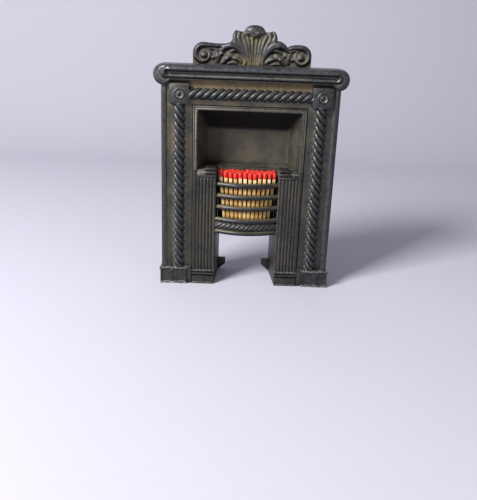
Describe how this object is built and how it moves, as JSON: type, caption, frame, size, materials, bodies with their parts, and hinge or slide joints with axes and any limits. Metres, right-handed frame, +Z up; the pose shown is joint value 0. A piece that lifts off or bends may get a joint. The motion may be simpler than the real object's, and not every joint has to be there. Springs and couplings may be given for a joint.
{
  "type": "match holder",
  "caption": "Table match holder shaped like a small hob grate, with a rope-twist surround, a shelf with a leafy crest, and a barred basket that holds matches upright.",
  "frame": {"origin": "on the table, under the middle of the whole holder", "axes": "+Z up; +X to the right as the viewer sees the front; -Y towards the viewer"},
  "size_m": [0.1324, 0.042, 0.1819],
  "materials": {
    "cast_iron": "blackened, dull sheen",
    "fireback_iron": "dusty black",
    "plate_iron": "plain, as cast",
    "screw_steel": "darkened steel",
    "match_wood": "plain split wood with a bright red striking head"
  },
  "bodies": {
    "holder": {"surround": "cast_iron", "mantel_shelf": "cast_iron", "crest": "cast_iron", "fireback": "fireback_iron", "left_hob": "cast_iron", "right_hob": "cast_iron", "upper_bar": "cast_iron", "middle_bar": "cast_iron", "lower_bar": "cast_iron", "rope_rail": "cast_iron", "basket_floor": "plate_iron", "basket_back": "plate_iron", "upper_left_screw": "screw_steel", "upper_right_screw": "screw_steel", "lower_left_screw": "screw_steel", "lower_right_screw": "screw_steel", "left_shelf_screw": "screw_steel", "right_shelf_screw": "screw_steel"},
    "match_front_01": {"match_front_01": "match_wood"},
    "match_front_02": {"match_front_02": "match_wood"},
    "match_front_03": {"match_front_03": "match_wood"},
    "match_front_04": {"match_front_04": "match_wood"},
    "match_front_05": {"match_front_05": "match_wood"},
    "match_front_06": {"match_front_06": "match_wood"},
    "match_front_07": {"match_front_07": "match_wood"},
    "match_front_08": {"match_front_08": "match_wood"},
    "match_front_09": {"match_front_09": "match_wood"},
    "match_front_10": {"match_front_10": "match_wood"},
    "match_front_11": {"match_front_11": "match_wood"},
    "match_front_12": {"match_front_12": "match_wood"},
    "match_second_01": {"match_second_01": "match_wood"},
    "match_second_02": {"match_second_02": "match_wood"},
    "match_second_03": {"match_second_03": "match_wood"},
    "match_second_04": {"match_second_04": "match_wood"},
    "match_second_05": {"match_second_05": "match_wood"},
    "match_second_06": {"match_second_06": "match_wood"},
    "match_second_07": {"match_second_07": "match_wood"},
    "match_second_08": {"match_second_08": "match_wood"},
    "match_second_09": {"match_second_09": "match_wood"},
    "match_second_10": {"match_second_10": "match_wood"},
    "match_second_11": {"match_second_11": "match_wood"},
    "match_third_01": {"match_third_01": "match_wood"},
    "match_third_02": {"match_third_02": "match_wood"},
    "match_third_03": {"match_third_03": "match_wood"},
    "match_third_04": {"match_third_04": "match_wood"},
    "match_third_05": {"match_third_05": "match_wood"},
    "match_third_06": {"match_third_06": "match_wood"},
    "match_third_07": {"match_third_07": "match_wood"},
    "match_third_08": {"match_third_08": "match_wood"},
    "match_third_09": {"match_third_09": "match_wood"},
    "match_third_10": {"match_third_10": "match_wood"},
    "match_third_11": {"match_third_11": "match_wood"},
    "match_third_12": {"match_third_12": "match_wood"},
    "match_fourth_01": {"match_fourth_01": "match_wood"},
    "match_fourth_02": {"match_fourth_02": "match_wood"},
    "match_fourth_03": {"match_fourth_03": "match_wood"},
    "match_fourth_04": {"match_fourth_04": "match_wood"},
    "match_fourth_05": {"match_fourth_05": "match_wood"},
    "match_fourth_06": {"match_fourth_06": "match_wood"},
    "match_fourth_07": {"match_fourth_07": "match_wood"}
  },
  "joints": [
    {"name": "match_front_01_lift", "type": "slide", "parent": "holder", "child": "match_front_01", "axis": [-0.1052, 0, 0.9944], "range_m": [0, 0.0326]},
    {"name": "match_front_02_lift", "type": "slide", "parent": "holder", "child": "match_front_02", "axis": [-0.0863, 0, 0.9963], "range_m": [0, 0.0326]},
    {"name": "match_front_03_lift", "type": "slide", "parent": "holder", "child": "match_front_03", "axis": [-0.0672, 0, 0.9977], "range_m": [0, 0.0325]},
    {"name": "match_front_04_lift", "type": "slide", "parent": "holder", "child": "match_front_04", "axis": [-0.048, 0, 0.9988], "range_m": [0, 0.0325]},
    {"name": "match_front_05_lift", "type": "slide", "parent": "holder", "child": "match_front_05", "axis": [-0.0288, 0, 0.9996], "range_m": [0, 0.0325]},
    {"name": "match_front_06_lift", "type": "slide", "parent": "holder", "child": "match_front_06", "axis": [-0.0096, 0, 1], "range_m": [0, 0.0325]},
    {"name": "match_front_07_lift", "type": "slide", "parent": "holder", "child": "match_front_07", "axis": [0.0096, 0, 1], "range_m": [0, 0.0325]},
    {"name": "match_front_08_lift", "type": "slide", "parent": "holder", "child": "match_front_08", "axis": [0.0288, 0, 0.9996], "range_m": [0, 0.0325]},
    {"name": "match_front_09_lift", "type": "slide", "parent": "holder", "child": "match_front_09", "axis": [0.048, 0, 0.9988], "range_m": [0, 0.0325]},
    {"name": "match_front_10_lift", "type": "slide", "parent": "holder", "child": "match_front_10", "axis": [0.0672, 0, 0.9977], "range_m": [0, 0.0325]},
    {"name": "match_front_11_lift", "type": "slide", "parent": "holder", "child": "match_front_11", "axis": [0.0863, 0, 0.9963], "range_m": [0, 0.0326]},
    {"name": "match_front_12_lift", "type": "slide", "parent": "holder", "child": "match_front_12", "axis": [0.1052, 0, 0.9944], "range_m": [0, 0.0326]},
    {"name": "match_second_01_lift", "type": "slide", "parent": "holder", "child": "match_second_01", "axis": [-0.0958, 0, 0.9954], "range_m": [0, 0.0326]},
    {"name": "match_second_02_lift", "type": "slide", "parent": "holder", "child": "match_second_02", "axis": [-0.0767, 0, 0.9971], "range_m": [0, 0.0325]},
    {"name": "match_second_03_lift", "type": "slide", "parent": "holder", "child": "match_second_03", "axis": [-0.0576, 0, 0.9983], "range_m": [0, 0.0325]},
    {"name": "match_second_04_lift", "type": "slide", "parent": "holder", "child": "match_second_04", "axis": [-0.0385, 0, 0.9993], "range_m": [0, 0.0325]},
    {"name": "match_second_05_lift", "type": "slide", "parent": "holder", "child": "match_second_05", "axis": [-0.0192, 0, 0.9998], "range_m": [0, 0.0325]},
    {"name": "match_second_06_lift", "type": "slide", "parent": "holder", "child": "match_second_06", "axis": [0, 0, 1], "range_m": [0, 0.0325]},
    {"name": "match_second_07_lift", "type": "slide", "parent": "holder", "child": "match_second_07", "axis": [0.0192, 0, 0.9998], "range_m": [0, 0.0325]},
    {"name": "match_second_08_lift", "type": "slide", "parent": "holder", "child": "match_second_08", "axis": [0.0385, 0, 0.9993], "range_m": [0, 0.0325]},
    {"name": "match_second_09_lift", "type": "slide", "parent": "holder", "child": "match_second_09", "axis": [0.0576, 0, 0.9983], "range_m": [0, 0.0325]},
    {"name": "match_second_10_lift", "type": "slide", "parent": "holder", "child": "match_second_10", "axis": [0.0767, 0, 0.9971], "range_m": [0, 0.0325]},
    {"name": "match_second_11_lift", "type": "slide", "parent": "holder", "child": "match_second_11", "axis": [0.0958, 0, 0.9954], "range_m": [0, 0.0326]},
    {"name": "match_third_01_lift", "type": "slide", "parent": "holder", "child": "match_third_01", "axis": [-0.1052, 0, 0.9944], "range_m": [0, 0.0326]},
    {"name": "match_third_02_lift", "type": "slide", "parent": "holder", "child": "match_third_02", "axis": [-0.0863, 0, 0.9963], "range_m": [0, 0.0326]},
    {"name": "match_third_03_lift", "type": "slide", "parent": "holder", "child": "match_third_03", "axis": [-0.0672, 0, 0.9977], "range_m": [0, 0.0325]},
    {"name": "match_third_04_lift", "type": "slide", "parent": "holder", "child": "match_third_04", "axis": [-0.048, 0, 0.9988], "range_m": [0, 0.0325]},
    {"name": "match_third_05_lift", "type": "slide", "parent": "holder", "child": "match_third_05", "axis": [-0.0288, 0, 0.9996], "range_m": [0, 0.0325]},
    {"name": "match_third_06_lift", "type": "slide", "parent": "holder", "child": "match_third_06", "axis": [-0.0096, 0, 1], "range_m": [0, 0.0325]},
    {"name": "match_third_07_lift", "type": "slide", "parent": "holder", "child": "match_third_07", "axis": [0.0096, 0, 1], "range_m": [0, 0.0325]},
    {"name": "match_third_08_lift", "type": "slide", "parent": "holder", "child": "match_third_08", "axis": [0.0288, 0, 0.9996], "range_m": [0, 0.0325]},
    {"name": "match_third_09_lift", "type": "slide", "parent": "holder", "child": "match_third_09", "axis": [0.048, 0, 0.9988], "range_m": [0, 0.0325]},
    {"name": "match_third_10_lift", "type": "slide", "parent": "holder", "child": "match_third_10", "axis": [0.0672, 0, 0.9977], "range_m": [0, 0.0325]},
    {"name": "match_third_11_lift", "type": "slide", "parent": "holder", "child": "match_third_11", "axis": [0.0863, 0, 0.9963], "range_m": [0, 0.0326]},
    {"name": "match_third_12_lift", "type": "slide", "parent": "holder", "child": "match_third_12", "axis": [0.1052, 0, 0.9944], "range_m": [0, 0.0326]},
    {"name": "match_fourth_01_lift", "type": "slide", "parent": "holder", "child": "match_fourth_01", "axis": [-0.0576, 0, 0.9983], "range_m": [0, 0.0325]},
    {"name": "match_fourth_02_lift", "type": "slide", "parent": "holder", "child": "match_fourth_02", "axis": [-0.0385, 0, 0.9993], "range_m": [0, 0.0325]},
    {"name": "match_fourth_03_lift", "type": "slide", "parent": "holder", "child": "match_fourth_03", "axis": [-0.0192, 0, 0.9998], "range_m": [0, 0.0325]},
    {"name": "match_fourth_04_lift", "type": "slide", "parent": "holder", "child": "match_fourth_04", "axis": [0, 0, 1], "range_m": [0, 0.0325]},
    {"name": "match_fourth_05_lift", "type": "slide", "parent": "holder", "child": "match_fourth_05", "axis": [0.0192, 0, 0.9998], "range_m": [0, 0.0325]},
    {"name": "match_fourth_06_lift", "type": "slide", "parent": "holder", "child": "match_fourth_06", "axis": [0.0385, 0, 0.9993], "range_m": [0, 0.0325]},
    {"name": "match_fourth_07_lift", "type": "slide", "parent": "holder", "child": "match_fourth_07", "axis": [0.0576, 0, 0.9983], "range_m": [0, 0.0325]}
  ]
}
